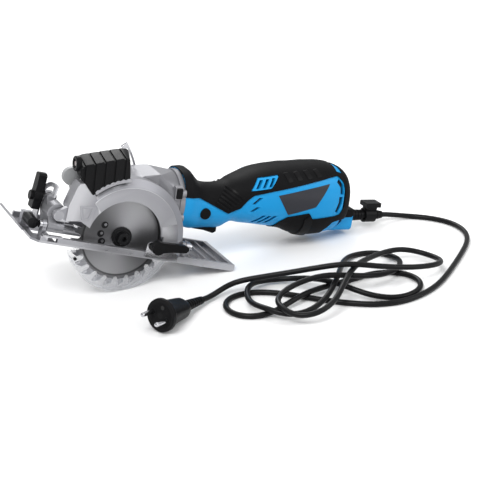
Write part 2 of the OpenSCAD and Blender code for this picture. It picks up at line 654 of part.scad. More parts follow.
// Lay of the cord on the floor: X and Y from the blade centre, and lift above the floor
LAY = [[383, 28, 0], [406, 9, 0], [422, -17, 0], [422, -47, 0], [407, -74, 0], [383, -97, 0],
    [358, -119, 0], [333, -140, 0], [307, -160, 0], [278, -174, 0], [246, -180, 0], [217, -172, 0],
    [192, -153, 0], [169, -130, 0], [143, -98, 0], [116, -81, 0], [90, -82, 0], [74, -100, 0],
    [75, -123, 0], [91, -139, 0], [117, -140, 1], [152, -127, 7], [184, -117, 5], [216, -107, 0],
    [250, -101, 0], [279, -107, 0], [295, -128, 0], [291, -153, 0], [270, -169, 0], [241, -169, 0],
    [215, -152, 5], [197, -124, 12], [182, -92, 7], [161, -70, 1], [134, -66, 3], [110, -81, 8],
    [98, -110, 3], [103, -140, 9], [122, -160, 3], [150, -162, 5], [178, -147, 12], [201, -122, 18],
    [221, -94, 11], [242, -63, 4], [263, -47, 0], [288, -50, 0], [303, -69, 0], [300, -96, 4],
    [279, -120, 7], [249, -134, 12], [216, -136, 19], [182, -125, 25], [146, -119, 17],
    [123, -129, 12], [114, -150, 13], [122, -172, 8], [144, -183, 11], [171, -173, 17],
    [196, -146, 24], [222, -124, 27], [249, -105, 21], [279, -85, 14], [308, -76, 10], [329, -83, 5],
    [341, -104, 3], [334, -129, 8], [306, -142, 14], [271, -145, 21], [238, -141, 28], [208, -130, 34],
    [179, -114, 28], [150, -97, 21], [123, -81, 15], [99, -67, 9]];
// The first and last three points keep the cord straight where it leaves the boot and the plug
ROUTE = concat([cord_start - 9 * cord_out, cord_start, cord_start + 9 * cord_out],
    [for (p = LAY) [p[0], p[1], p[2] + cord_d / 2]],
    [cord_end + 20 * plug_back, cord_end, cord_end - 20 * plug_back]);
// Point at t on the smooth curve that four points in a row pull towards them
function smooth(a, b, c, d, t) = (pow(1 - t, 3) * a + (3 * t * t * t - 6 * t * t + 4) * b
    + (3 * t + 3 * t * t - 3 * t * t * t + 1) * c + t * t * t * d) / 6;
function route_at(i, t) = smooth(ROUTE[i - 1], ROUTE[i], ROUTE[i + 1], ROUTE[i + 2], t);
function on_floor(p) = [p[0], p[1], max(p[2], cord_d / 2)];
cord_sides = 8;
module cord() color([0.07, 0.07, 0.08]) translate([row_x, row_y, 0]) {
    line = concat([for (i = [1 : len(ROUTE) - 3]) for (t = [0, 0.5]) on_floor(route_at(i, t))],
        [cord_end]);
    n = len(line);
    dirs = [for (i = [0 : n - 1]) i == 0 ? cord_out : i == n - 1 ? -plug_back :
        (line[i + 1] - line[i - 1]) / norm(line[i + 1] - line[i - 1])];
    m = cord_sides;
    pts = [for (i = [0 : n - 1]) let(t = dirs[i], s = cross(t, [0, 0, 1]) / norm(cross(t, [0, 0, 1])),
        u = cross(s, t)) for (k = [0 : m - 1])
            line[i] + cord_d / 2 * (cos(k * 360 / m) * s + sin(k * 360 / m) * u)];
    polyhedron(pts, concat(
        [for (i = [0 : n - 2]) for (k = [0 : m - 1])
            [i * m + k, (i + 1) * m + k, (i + 1) * m + (k + 1) % m, i * m + (k + 1) % m]],
        [[for (k = [0 : m - 1]) k]], [[for (k = [m - 1 : -1 : 0]) (n - 1) * m + k]]));
}
module cord_plug() color([0.1, 0.1, 0.11]) translate([row_x, row_y, 0]) translate(plug_face)
    rotate([0, plug_dip, plug_turn]) {
        rotate([0, 90, 0]) rotate_extrude() polygon([[0, 0], [17.3, 0], [18.2, 1], [18.2, 5], [14, 12],
            [12, 22], [11.5, 34], [7, 40], [6, 44], [4.2, plug_len], [0, plug_len]]);
        rotate([18, 0, 0]) for (s = [-1, 1]) xcyl(2.4, -19, 1, s * pin_pitch / 2, 0);
    }

upper_guard();
bearing_plate();
gear_case();
gear_cover();
case_screws();
housing_near();
housing_far();
grip_near();
grip_far();
under_grip();
end_cap();
cord_chin();
motor_brackets();
stator();
field_coils();
motor_bearings();
gear_bearings();
brush_holders();
brushes();
switch_body();
idler_pin();
laser_housing();
laser_lens();
dust_port();
cord_boot();
hex_key_holder();
trigger();
lock_button();
spindle_lock();
laser_switch();
armature_shaft();
armature_core();
commutator();
fan();
counter_shaft();
crown_wheel();
counter_gear();
idler_gear();
saw_blade();
blade_tips();
inner_flange();
outer_flange();
arbor_bolt();
spindle();
lower_guard();
guard_pin();
front_carrier();
rear_bracket();
depth_quadrant();
pivot_pin();
bevel_lever();
depth_knob();
base_plate();
bevel_quadrant();
bevel_screws();
side_bracket();
side_lever();
fence_knob();
cord();
cord_plug();
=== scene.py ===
"""Looks of the inline-grip mini circular saw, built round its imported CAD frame.

Lengths in the helpers are in mm.
"""
import bpy
import bmesh
import math
from mathutils import Matrix, Vector
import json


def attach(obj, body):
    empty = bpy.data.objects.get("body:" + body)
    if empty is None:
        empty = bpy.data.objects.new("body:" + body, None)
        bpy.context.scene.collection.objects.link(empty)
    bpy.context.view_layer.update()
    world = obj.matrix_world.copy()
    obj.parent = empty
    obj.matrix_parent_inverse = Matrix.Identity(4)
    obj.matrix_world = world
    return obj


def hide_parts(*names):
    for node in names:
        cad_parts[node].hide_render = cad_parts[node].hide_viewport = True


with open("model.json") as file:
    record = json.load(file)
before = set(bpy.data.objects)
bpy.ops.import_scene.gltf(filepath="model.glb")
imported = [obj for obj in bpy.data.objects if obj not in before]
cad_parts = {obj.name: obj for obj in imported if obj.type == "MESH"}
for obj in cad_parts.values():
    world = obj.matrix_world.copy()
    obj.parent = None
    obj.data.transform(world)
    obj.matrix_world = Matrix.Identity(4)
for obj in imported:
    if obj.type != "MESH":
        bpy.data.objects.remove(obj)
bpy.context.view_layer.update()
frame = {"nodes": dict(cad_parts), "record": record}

# ---------- frames ----------
# The blade's centre is GUARD_R above the floor.
# The base's rear edge is BASE_REAR behind it and SOLE below it.
GUARD_R, BASE_REAR, SOLE = 61.0, 138.0, 15.0
BASE_PITCH = math.asin(GUARD_R / math.hypot(BASE_REAR, SOLE)) - math.atan2(SOLE, BASE_REAR)
HEAD_TO_BASE = math.radians(10)
HEAD_PITCH = BASE_PITCH - HEAD_TO_BASE
BLADE = Vector((-118.3, -19.75, GUARD_R))
MM = Matrix.Scale(0.001, 4)
ROW = MM @ Matrix.Translation((BLADE.x, BLADE.y, 0))
HEAD = MM @ Matrix.Translation(BLADE) @ Matrix.Rotation(HEAD_PITCH, 4, "Y")

# ---------- camera, floor and light ----------
scene = bpy.context.scene
scene.view_settings.view_transform = "Standard"
LENS, SENSOR = 90, 36
CAMERA_AT = (-0.5137, -1.1630, 0.5596)
CAMERA_TURN, CAMERA_LIFT, CAMERA_ROLL = math.radians(-25.2), math.radians(22.8), math.radians(-1.2)


def make_camera():
    data = bpy.data.cameras.new("camera")
    data.lens, data.sensor_width = LENS, SENSOR
    data.clip_start, data.clip_end = 0.05, 50
    cam = bpy.data.objects.new("camera", data)
    scene.collection.objects.link(cam)
    turn, lift = CAMERA_TURN, CAMERA_LIFT
    back = Vector((math.sin(turn) * math.cos(lift), -math.cos(turn) * math.cos(lift), math.sin(lift)))
    cam.location = CAMERA_AT
    cam.rotation_mode = "QUATERNION"
    roll = Matrix.Rotation(CAMERA_ROLL, 3, "Z").to_quaternion()
    cam.rotation_quaternion = (-back).to_track_quat("-Z", "Y") @ roll
    scene.camera = cam


def area_light(name, where, aim, size, power):
    data = bpy.data.lights.new(name, "AREA")
    data.shape, data.size, data.energy = "DISK", size, power
    lamp = bpy.data.objects.new(name, data)
    scene.collection.objects.link(lamp)
    lamp.location = where
    lamp.rotation_mode = "QUATERNION"
    lamp.rotation_quaternion = (Vector(aim) - Vector(where)).to_track_quat("-Z", "Y")


# ---------- materials ----------
# sockets of a colour mix node: factor, its two colours, and the result
MIX_FACTOR, MIX_A, MIX_B, MIX_OUT = 0, 6, 7, 2
GRAIN_DEPTH = 0.0005


def nodes_of(name):
    m = bpy.data.materials.new(name)
    m.use_nodes = True
    t = m.node_tree
    return m, t, t.nodes["Principled BSDF"]


def finish_mat(name, colour, rough, metal=0.0, grain=900.0, bump=0.05, vary=0.08, rough_vary=0.08, coat=0.0,
               blotch=18.0, stretch=(1, 1, 1), wear=None, spec=0.5):
    """Surface with two scales of noise: soft colour blotches, and fine grain in bump and roughness."""
    m, t, b = nodes_of(name)
    n = t.nodes
    link = t.links.new
    co = n.new("ShaderNodeTexCoord")
    mp = n.new("ShaderNodeMapping")
    mp.inputs["Scale"].default_value = stretch
    link(co.outputs["Object"], mp.inputs["Vector"])
    fine = n.new("ShaderNodeTexNoise")
    fine.inputs["Scale"].default_value = grain
    fine.inputs["Detail"].default_value = 3
    soft = n.new("ShaderNodeTexNoise")
    soft.inputs["Scale"].default_value = blotch
    soft.inputs["Detail"].default_value = 4
    link(mp.outputs["Vector"], fine.inputs["Vector"])
    link(mp.outputs["Vector"], soft.inputs["Vector"])
    ramp = n.new("ShaderNodeMix")
    ramp.data_type = "RGBA"
    dark = [c * (1 - vary) for c in colour]
    pale = [min(1, c * (1 + vary) + vary * 0.01) for c in colour]
    ramp.inputs[MIX_A].default_value = (*dark, 1)
    ramp.inputs[MIX_B].default_value = (*pale, 1)
    link(soft.outputs["Fac"], ramp.inputs[MIX_FACTOR])
    base = ramp.outputs[MIX_OUT]
    if wear:
        geo = n.new("ShaderNodeNewGeometry")
        edge = n.new("ShaderNodeMapRange")
        edge.inputs["From Min"].default_value = 0.52
        edge.inputs["From Max"].default_value = 0.62
        link(geo.outputs["Pointiness"], edge.inputs["Value"])
        worn = n.new("ShaderNodeMix")
        worn.data_type = "RGBA"
        worn.inputs[MIX_B].default_value = (*wear, 1)
        link(base, worn.inputs[MIX_A])
        link(edge.outputs["Result"], worn.inputs[MIX_FACTOR])
        base = worn.outputs[MIX_OUT]
    link(base, b.inputs["Base Color"])
    r = n.new("ShaderNodeMapRange")
    r.inputs["To Min"].default_value = max(0.02, rough - rough_vary)
    r.inputs["To Max"].default_value = min(1.0, rough + rough_vary)
    link(fine.outputs["Fac"], r.inputs["Value"])
    link(r.outputs["Result"], b.inputs["Roughness"])
    bp = n.new("ShaderNodeBump")
    bp.inputs["Strength"].default_value = bump
    bp.inputs["Distance"].default_value = GRAIN_DEPTH
    link(fine.outputs["Fac"], bp.inputs["Height"])
    link(bp.outputs["Normal"], b.inputs["Normal"])
    b.inputs["Metallic"].default_value = metal
    b.inputs["Coat Weight"].default_value = coat
    b.inputs["Specular IOR Level"].default_value = spec
    return m


def clear_mat(name):
    """Clear plastic that turns more solid where it is seen at a slant."""
    m, t, b = nodes_of(name)
    n, link = t.nodes, t.links.new
    noise = n.new("ShaderNodeTexNoise")
    noise.inputs["Scale"].default_value = 60
    noise.inputs["Detail"].default_value = 5
    co = n.new("ShaderNodeTexCoord")
    link(co.outputs["Object"], noise.inputs["Vector"])
    r = n.new("ShaderNodeMapRange")
    r.inputs["To Min"].default_value, r.inputs["To Max"].default_value = 0.04, 0.16
    link(noise.outputs["Fac"], r.inputs["Value"])
    link(r.outputs["Result"], b.inputs["Roughness"])
    a = n.new("ShaderNodeLayerWeight")
    a.inputs["Blend"].default_value = 0.35
    ar = n.new("ShaderNodeMapRange")
    ar.inputs["To Min"].default_value, ar.inputs["To Max"].default_value = 0.14, 0.7
    link(a.outputs["Facing"], ar.inputs["Value"])
    link(ar.outputs["Result"], b.inputs["Alpha"])
    b.inputs["Base Color"].default_value = (0.6, 0.61, 0.64, 1)
    b.inputs["IOR"].default_value = 1.5
    return m


def blade_mat():
    """Ground steel with a lighter disc, a dark ring at its edge, and grinding marks along the circle;
    painted highlights brighten soft sectors of its colour.
    """
    m, t, b = nodes_of("blade_steel")
    n, link = t.nodes, t.links.new
    co = n.new("ShaderNodeTexCoord")
    mp = n.new("ShaderNodeMapping")
    mp.vector_type = "TEXTURE"
    mp.inputs["Location"].default_value = tuple(BLADE * 0.001)
    mp.inputs["Rotation"].default_value = (0, HEAD_PITCH, 0)
    link(co.outputs["Object"], mp.inputs["Vector"])
    sep = n.new("ShaderNodeSeparateXYZ")
    link(mp.outputs["Vector"], sep.inputs[0])
    flat = n.new("ShaderNodeCombineXYZ")
    link(sep.outputs["X"], flat.inputs["X"])
    link(sep.outputs["Z"], flat.inputs["Y"])
    length = n.new("ShaderNodeVectorMath")
    length.operation = "LENGTH"
    link(flat.outputs[0], length.inputs[0])
    turn = n.new("ShaderNodeMath")
    turn.operation = "ARCTAN2"
    link(sep.outputs["X"], turn.inputs[0])
    link(sep.outputs["Z"], turn.inputs[1])
    polar = n.new("ShaderNodeCombineXYZ")
    link(length.outputs["Value"], polar.inputs["X"])
    slow = n.new("ShaderNodeMath")
    slow.operation = "MULTIPLY"
    slow.inputs[1].default_value = 0.0016
    link(turn.outputs[0], slow.inputs[0])
    link(slow.outputs[0], polar.inputs["Y"])
    marks = n.new("ShaderNodeTexNoise")
    marks.inputs["Scale"].default_value = 2600
    marks.inputs["Detail"].default_value = 2
    link(polar.outputs[0], marks.inputs["Vector"])
    rings = n.new("ShaderNodeValToRGB")
    e = rings.color_ramp.elements
    e[0].position, e[0].color = 0.0, (0.17, 0.17, 0.18, 1)
    e[1].position, e[1].color = 1.0, (0.10, 0.105, 0.12, 1)
    for at, c in ((0.742, 0.17), (0.748, 0.05), (0.778, 0.05), (0.784, 0.11)):
        k = e.new(at)
        k.color = (c, c, c * 1.03, 1)
    scale = n.new("ShaderNodeMath")
    scale.operation = "MULTIPLY"
    scale.inputs[1].default_value = 1000 / 58.0
    link(length.outputs["Value"], scale.inputs[0])
    link(scale.outputs[0], rings.inputs["Fac"])
    # painted highlight: soft bright sectors painted into the base colour, standing in for light sweeping
    # across a turned face
    painted_sheen_wave = n.new("ShaderNodeMath")
    painted_sheen_wave.operation = "SINE"
    fast = n.new("ShaderNodeMath")
    fast.operation = "MULTIPLY_ADD"
    fast.inputs[1].default_value = 2.0
    fast.inputs[2].default_value = 0.6
    link(turn.outputs[0], fast.inputs[0])
    link(fast.outputs[0], painted_sheen_wave.inputs[0])
    painted_sheen = n.new("ShaderNodeMapRange")
    painted_sheen.inputs["From Min"].default_value = -1
    painted_sheen.inputs["To Min"].default_value = 0.5
    painted_sheen.inputs["To Max"].default_value = 1.9
    link(painted_sheen_wave.outputs[0], painted_sheen.inputs["Value"])
    sheen_tint = n.new("ShaderNodeVectorMath")
    sheen_tint.operation = "SCALE"
    link(rings.outputs["Color"], sheen_tint.inputs[0])
    link(painted_sheen.outputs["Result"], sheen_tint.inputs["Scale"])
    # painted highlight: the ring colours, scaled by the bright sectors, become the base colour
    link(sheen_tint.outputs[0], b.inputs["Base Color"])
    b.inputs["Metallic"].default_value = 0.75
    r = n.new("ShaderNodeMapRange")
    r.inputs["To Min"].default_value, r.inputs["To Max"].default_value = 0.26, 0.46
    link(marks.outputs["Fac"], r.inputs["Value"])
    link(r.outputs["Result"], b.inputs["Roughness"])
    bump = n.new("ShaderNodeBump")
    bump.inputs["Strength"].default_value = 0.12
    bump.inputs["Distance"].default_value = 0.0004
    link(marks.outputs["Fac"], bump.inputs["Height"])
    link(bump.outputs["Normal"], b.inputs["Normal"])
    return m


M = {
    "guard": finish_mat("silver_paint", (0.27, 0.27, 0.29), 0.4, 0.6, 700, 0.05, 0.04, 0.06,
                        wear=(0.5, 0.5, 0.52)),
    "case": finish_mat("cast_metal", (0.23, 0.23, 0.245), 0.42, 0.65, 500, 0.16, 0.07, 0.1,
                       wear=(0.42, 0.42, 0.44)),
    "base": finish_mat("base_metal", (0.30, 0.30, 0.32), 0.3, 0.8, 600, 0.06, 0.05, 0.08,
                       stretch=(0.15, 1, 1), wear=(0.6, 0.6, 0.62)),
    "bright": finish_mat("bright_steel", (0.5, 0.5, 0.52), 0.16, 1.0, 800, 0.03, 0.03, 0.05),
    "steel": finish_mat("plain_steel", (0.20, 0.20, 0.21), 0.34, 0.9, 700, 0.06, 0.06, 0.08),
    "dark": finish_mat("black_oxide", (0.009, 0.009, 0.010), 0.34, 0.3, 600, 0.08, 0.15, 0.08,
                       spec=0.16),
    "blue": finish_mat("blue_plastic", (0.006, 0.27, 0.60), 0.42, 0.0, 1500, 0.10, 0.04, 0.05,
                       blotch=9, spec=0.25),
    "grip": finish_mat("soft_grip", (0.005, 0.005, 0.0055), 0.55, 0.0, 1800, 0.25, 0.2, 0.1, spec=0.06),
    "plastic": finish_mat("black_plastic", (0.005, 0.005, 0.0055), 0.36, 0.0, 1300, 0.14, 0.2, 0.08,
                          spec=0.09),
    "inner": finish_mat("dark_inside", (0.006, 0.006, 0.006), 0.7, 0.0, 900, 0.1, 0.2, 0.1),
    "grey": finish_mat("grey_plastic", (0.33, 0.335, 0.34), 0.5, 0.1, 1200, 0.12, 0.06, 0.08),
    "cord": finish_mat("cord_black", (0.005, 0.005, 0.0055), 0.34, 0.0, 900, 0.08, 0.15, 0.06,
                       spec=0.14),
    "decal": finish_mat("decal_grey", (0.030, 0.031, 0.038), 0.32, 0.1, 1000, 0.04, 0.1, 0.04,
                        spec=0.3),
    "red": finish_mat("red_lens", (0.05, 0.002, 0.003), 0.2, 0.0, 900, 0.03, 0.1, 0.04, coat=0.6),
    "copper": finish_mat("copper", (0.6, 0.28, 0.12), 0.3, 0.9, 700, 0.05, 0.1, 0.08),
    "brass": finish_mat("brass", (0.62, 0.46, 0.18), 0.3, 0.9, 700, 0.05, 0.08, 0.08),
    "clear": clear_mat("clear_guard"),
    "blade": blade_mat(),
    "floor": finish_mat("pale_floor", (0.86, 0.86, 0.86), 0.75, 0.0, 200, 0.01, 0.01, 0.03,
                        blotch=2, spec=0.2),
}
SLOT_MAT = {
    "cast_guard": "guard", "gear_metal": "case", "case_metal": "case", "body_blue": "blue",
    "soft_grip": "grip", "black_plastic": "plastic", "grey_plastic": "grey", "steel": "steel",
    "bright_steel": "bright", "dark_steel": "dark", "blade_steel": "blade", "tip_steel": "bright",
    "clear_guard": "clear", "base_metal": "base", "copper": "copper", "brass": "brass",
    "carbon": "inner", "lens_red": "red", "cord_black": "cord",
}
SLOT_OF = {s["node"]: s["material_slot"] for s in frame["record"]["subparts"]}
BODY_OF = {n: b for b, ns in frame["record"]["behaviour"]["bodies"].items() for n in ns}


# ---------- mesh helpers ----------
BEVEL_SEGMENTS, BEVEL_FROM = 2, math.radians(32)


def add(name, verts, faces, mat, place, body, smooth=35, bevel=0.0):
    """A mesh piece from points in mm; place takes them to the row frame."""
    me = bpy.data.meshes.new(name)
    me.from_pydata([tuple(v) for v in verts], [], [tuple(f) for f in faces])
    me.transform(place)
    ob = bpy.data.objects.new(name, me)
    scene.collection.objects.link(ob)
    bm = bmesh.new()
    bm.from_mesh(me)
    bmesh.ops.recalc_face_normals(bm, faces=bm.faces)
    bm.to_mesh(me)
    bm.free()
    dress(ob, mat, smooth, bevel)
    if body:
        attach(ob, body)
    return ob


def dress(ob, mat, smooth=35, bevel=0.0):
    """Material, shading that breaks at smooth degrees, and edges broken by bevel mm."""
    me = ob.data
    me.materials.clear()
    me.materials.append(M[mat] if isinstance(mat, str) else mat)
    for p in me.polygons:
        p.use_smooth = True
    me.set_sharp_from_angle(angle=math.radians(smooth))
    if bevel:
        b = ob.modifiers.new("edges", "BEVEL")
        b.width, b.segments, b.limit_method = bevel * 0.001, BEVEL_SEGMENTS, "ANGLE"
        b.angle_limit = BEVEL_FROM
        b.harden_normals = True
        flat = ob.modifiers.new("normals", "WEIGHTED_NORMAL")
        flat.weight = 100
        flat.keep_sharp = True


def refined(node, mat=None, bevel=0.4):
    """The CAD node's shape as a new piece, with its edges broken as on the real part."""
    src = frame["nodes"][node]
    ob = src.copy()
    ob.data = src.data.copy()
    ob.name = node + "_piece"
    scene.collection.objects.link(ob)
    ob.parent = None
    ob.modifiers.clear()
    bm = bmesh.new()
    bm.from_mesh(ob.data)
    bmesh.ops.remove_doubles(bm, verts=bm.verts, dist=2e-6)
    bmesh.ops.dissolve_limit(bm, angle_limit=math.radians(0.1), verts=bm.verts, edges=bm.edges)
    bm.to_mesh(ob.data)
    bm.free()
    dress(ob, mat or SLOT_MAT[SLOT_OF[node]], 24, bevel)
    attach(ob, BODY_OF[node])
    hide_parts(node)
    return ob


def boolean(ob, cutter, how="DIFFERENCE"):
    """Applies a boolean, and removes the cutter."""
    mod = ob.modifiers.new("cut", "BOOLEAN")
    mod.operation, mod.solver, mod.object = how, "EXACT", cutter
    dg = bpy.context.evaluated_depsgraph_get()
    me = bpy.data.meshes.new_from_object(ob.evaluated_get(dg))
    ob.modifiers.remove(mod)
    old = ob.data
    ob.data = me
    bpy.data.meshes.remove(old)
    bpy.data.objects.remove(cutter)


def prism(outline, lo, hi, axis="Y", place=HEAD):
    """Closed prism over an outline, as a cutter.

    Outline pairs are X, Z for axis Y, X, Y for Z, and Y, Z for X.
    """
    def point(p, t):
        return {"Y": (p[0], t, p[1]), "Z": (p[0], p[1], t), "X": (t, p[0], p[1])}[axis]
    n = len(outline)
    verts = [point(p, lo) for p in outline] + [point(p, hi) for p in outline]
    faces = [list(range(n)), list(range(2 * n - 1, n - 1, -1))]
    faces += [[i, n + i, n + (i + 1) % n, (i + 1) % n] for i in range(n)]
    me = bpy.data.meshes.new("cutter")
    me.from_pydata(verts, [], faces)
    me.transform(place)
    ob = bpy.data.objects.new("cutter", me)
    scene.collection.objects.link(ob)
    bm = bmesh.new()
    bm.from_mesh(me)
    bmesh.ops.recalc_face_normals(bm, faces=bm.faces)
    bm.to_mesh(me)
    bm.free()
    return ob


def strips(outlines, lo, hi):
    """One cutter made of several prisms across the tool."""
    whole = prism(outlines[0], lo, hi)
    for o in outlines[1:]:
        part = prism(o, lo, hi)
        bm = bmesh.new()
        bm.from_mesh(whole.data)
        bm.from_mesh(part.data)
        bm.to_mesh(whole.data)
        bm.free()
        bpy.data.objects.remove(part)
    return whole


def rounded(points, r, n=4):
    """Outline with its corners rounded to about r."""
    out = []
    k = len(points)
    for i in range(k):
        a, b, c = Vector(points[i - 1]), Vector(points[i]), Vector(points[(i + 1) % k])
        u, v = (a - b), (c - b)
        d = min(r, u.length * 0.45, v.length * 0.45)
        p, q = b + u.normalized() * d, b + v.normalized() * d
        for j in range(n + 1):
            t = j / n
            out.append(tuple(p * (1 - t) ** 2 + b * 2 * t * (1 - t) + q * t * t))
    return out


def solid(name, outline, lo, hi, mat, body, bevel=0.5, cuts=()):
    """Prism across the tool, as a piece."""
    ob = prism(outline, lo, hi)
    ob.name = ob.data.name = name
    for c in cuts:
        boolean(ob, c)
    dress(ob, mat, 32, bevel)
    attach(ob, body)
    return ob


def lathe(name, profile, at, axis, mat, body, place=HEAD, n=48, bevel=0.0, smooth=30):
    """Turned piece: profile is (distance along axis, radius) pairs, from one end to the other."""
    ax = Vector(axis).normalized()
    side = ax.orthogonal().normalized()
    up = ax.cross(side)
    verts, faces = [], []
    for s, r in profile:
        for k in range(n):
            a = 2 * math.pi * k / n
            verts.append(Vector(at) + ax * s + (side * math.cos(a) + up * math.sin(a)) * max(r, 0.01))
    for i in range(len(profile) - 1):
        for k in range(n):
            faces.append([i * n + k, i * n + (k + 1) % n, (i + 1) * n + (k + 1) % n, (i + 1) * n + k])
    faces.append(list(range(n)))
    faces.append([(len(profile) - 1) * n + k for k in range(n)])
    return add(name, verts, faces, mat, place, body, smooth, bevel)


def make_world():
    """Soft sky, darker at the horizon."""
    world = bpy.data.worlds.new("studio")
    world.use_nodes = True
    nodes, link = world.node_tree.nodes, world.node_tree.links.new
    sky = nodes.new("ShaderNodeTexCoord")
    height = nodes.new("ShaderNodeSeparateXYZ")
    shade = nodes.new("ShaderNodeValToRGB")
    link(sky.outputs["Generated"], height.inputs[0])
    link(height.outputs["Z"], shade.inputs["Fac"])
    shade.color_ramp.elements[0].color = (0.30, 0.31, 0.33, 1)
    shade.color_ramp.elements[1].position = 0.75
    shade.color_ramp.elements[1].color = (1, 1, 1, 1)
    link(shade.outputs["Color"], nodes["Background"].inputs["Color"])
    nodes["Background"].inputs["Strength"].default_value = 1.0
    scene.world = world


make_camera()
FAR = 9000
floor = add("floor", [(-FAR, -FAR, 0), (FAR, -FAR, 0), (FAR, FAR, 0), (-FAR, FAR, 0)], [(0, 1, 2, 3)],
            "floor", MM, None)
make_world()
area_light("key", (-0.9, -0.9, 1.6), (0, 0, 0.05), 0.9, 22)
area_light("fill", (1.2, -1.2, 0.9), (0.05, 0, 0.05), 1.2, 9)
area_light("rim", (0.3, 1.3, 1.2), (0, 0, 0.05), 0.8, 12)

# ---------- cord and plug ----------
# MID_Y is the middle plane of the housing, in the head's Y
MID_Y = 30
CORD_D = 6.2
BOOT_END, BOOT_Z = 354, 10
OUT = Vector((math.cos(HEAD_PITCH), 0, -math.sin(HEAD_PITCH)))
UP = Vector((math.sin(HEAD_PITCH), 0, math.cos(HEAD_PITCH)))
START = Vector((0, MID_Y, GUARD_R)) + OUT * BOOT_END + UP * BOOT_Z
PLUG_FACE, PLUG_LEN = Vector((-5, -119.5, 18.8)), 72
TURN, DIP = math.radians(30), math.radians(9)
BACK = Vector((math.cos(TURN) * math.cos(DIP), math.sin(TURN) * math.cos(DIP), -math.sin(DIP)))
END = PLUG_FACE + BACK * PLUG_LEN
# straight runs of the cord at the tool and at the plug
TOOL_RUN, PLUG_RUN = 9, 20
# the route of part.scad: X and Y from the blade centre, and lift above the floor
LAY = [(383, 28, 0), (406, 9, 0), (422, -17, 0), (422, -47, 0), (407, -74, 0), (383, -97, 0),
       (358, -119, 0), (333, -140, 0), (307, -160, 0), (278, -174, 0), (246, -180, 0), (217, -172, 0),
       (192, -153, 0), (169, -130, 0), (143, -98, 0), (116, -81, 0), (90, -82, 0), (74, -100, 0),
       (75, -123, 0), (91, -139, 0), (117, -140, 1), (152, -127, 7), (184, -117, 5), (216, -107, 0),
       (250, -101, 0), (279, -107, 0), (295, -128, 0), (291, -153, 0), (270, -169, 0), (241, -169, 0),
       (215, -152, 5), (197, -124, 12), (182, -92, 7), (161, -70, 1), (134, -66, 3), (110, -81, 8),
       (98, -110, 3), (103, -140, 9), (122, -160, 3), (150, -162, 5), (178, -147, 12), (201, -122, 18),
       (221, -94, 11), (242, -63, 4), (263, -47, 0), (288, -50, 0), (303, -69, 0), (300, -96, 4),
       (279, -120, 7), (249, -134, 12), (216, -136, 19), (182, -125, 25), (146, -119, 17), (123, -129, 12),
       (114, -150, 13), (122, -172, 8), (144, -183, 11), (171, -173, 17), (196, -146, 24), (222, -124, 27),
       (249, -105, 21), (279, -85, 14), (308, -76, 10), (329, -83, 5), (341, -104, 3), (334, -129, 8),
       (306, -142, 14), (271, -145, 21), (238, -141, 28), (208, -130, 34), (179, -114, 28), (150, -97, 21),
       (123, -81, 15), (99, -67, 9)]
ROUTE = [START - OUT * TOOL_RUN, START, START + OUT * TOOL_RUN]
ROUTE += [Vector((x, y, z + CORD_D / 2)) for x, y, z in LAY]
ROUTE += [END + BACK * PLUG_RUN, END, END - BACK * PLUG_RUN]


def smooth_line(pts, n):
    """Even B-spline along the route, from its second point to its last but one."""
    out = []
    for i in range(1, len(pts) - 2):
        a, b, c, d = pts[i - 1:i + 3]
        for k in range(n):
            t = k / n
            out.append(((1 - t) ** 3 * a + (3 * t ** 3 - 6 * t * t + 4) * b
                        + (-3 * t ** 3 + 3 * t * t + 3 * t + 1) * c + t ** 3 * d) / 6)
    return out + [pts[-2]]


line = [Vector((p.x, p.y, max(p.z, CORD_D / 2))) for p in smooth_line(ROUTE, 6)]


def make_cord():
    cu = bpy.data.curves.new("mains_cord", "CURVE")
    cu.dimensions = "3D"
    sp = cu.splines.new("POLY")
    sp.points.add(len(line) - 1)
    pts = [ROW @ p for p in line]
    for q, p in zip(sp.points, pts):
        q.co = (*p, 1)
    cu.bevel_depth = CORD_D / 2000
    cu.bevel_resolution = 6
    cu.use_fill_caps = True
    ob = bpy.data.objects.new("mains_cord", cu)
    scene.collection.objects.link(ob)
    cu.materials.append(M["cord"])
    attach(ob, "head")
    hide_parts("cord")
    return ob, sum((pts[i + 1] - pts[i]).length for i in range(len(pts) - 1))


def loft(name, sections, mat, place, body, smooth=30, bevel=0.0):
    """Closed skin over sections, which are rings with the same number of points."""
    n = len(sections[0])
    verts = [p for s in sections for p in s]
    faces = [[i * n + k, i * n + (k + 1) % n, (i + 1) * n + (k + 1) % n, (i + 1) * n + k]
             for i in range(len(sections) - 1) for k in range(n)]
    faces += [list(range(n)), [(len(sections) - 1) * n + k for k in range(n)]]
    return add(name, verts, faces, mat, place, body, smooth, bevel)


def ring(x, cy, cz, w, h, e=2.4, n=48):
    """Superellipse ring in the plane at x."""
    pts = []
    for k in range(n):
        a = 2 * math.pi * k / n
        c, s = math.cos(a), math.sin(a)
        y = cy + w * math.copysign(abs(c) ** (2 / e), c)
        z = cz + h * math.copysign(abs(s) ** (2 / e), s)
        pts.append((x, y, z))
    return pts


PLUG_ROLL = math.radians(18)
PLUG = ROW @ Matrix.Translation(PLUG_FACE) @ Matrix.Rotation(TURN, 4, "Z") @ Matrix.Rotation(DIP, 4, "Y")
PLUG = PLUG @ Matrix.Rotation(PLUG_ROLL, 4, "X")
PIN_Y = 9.5


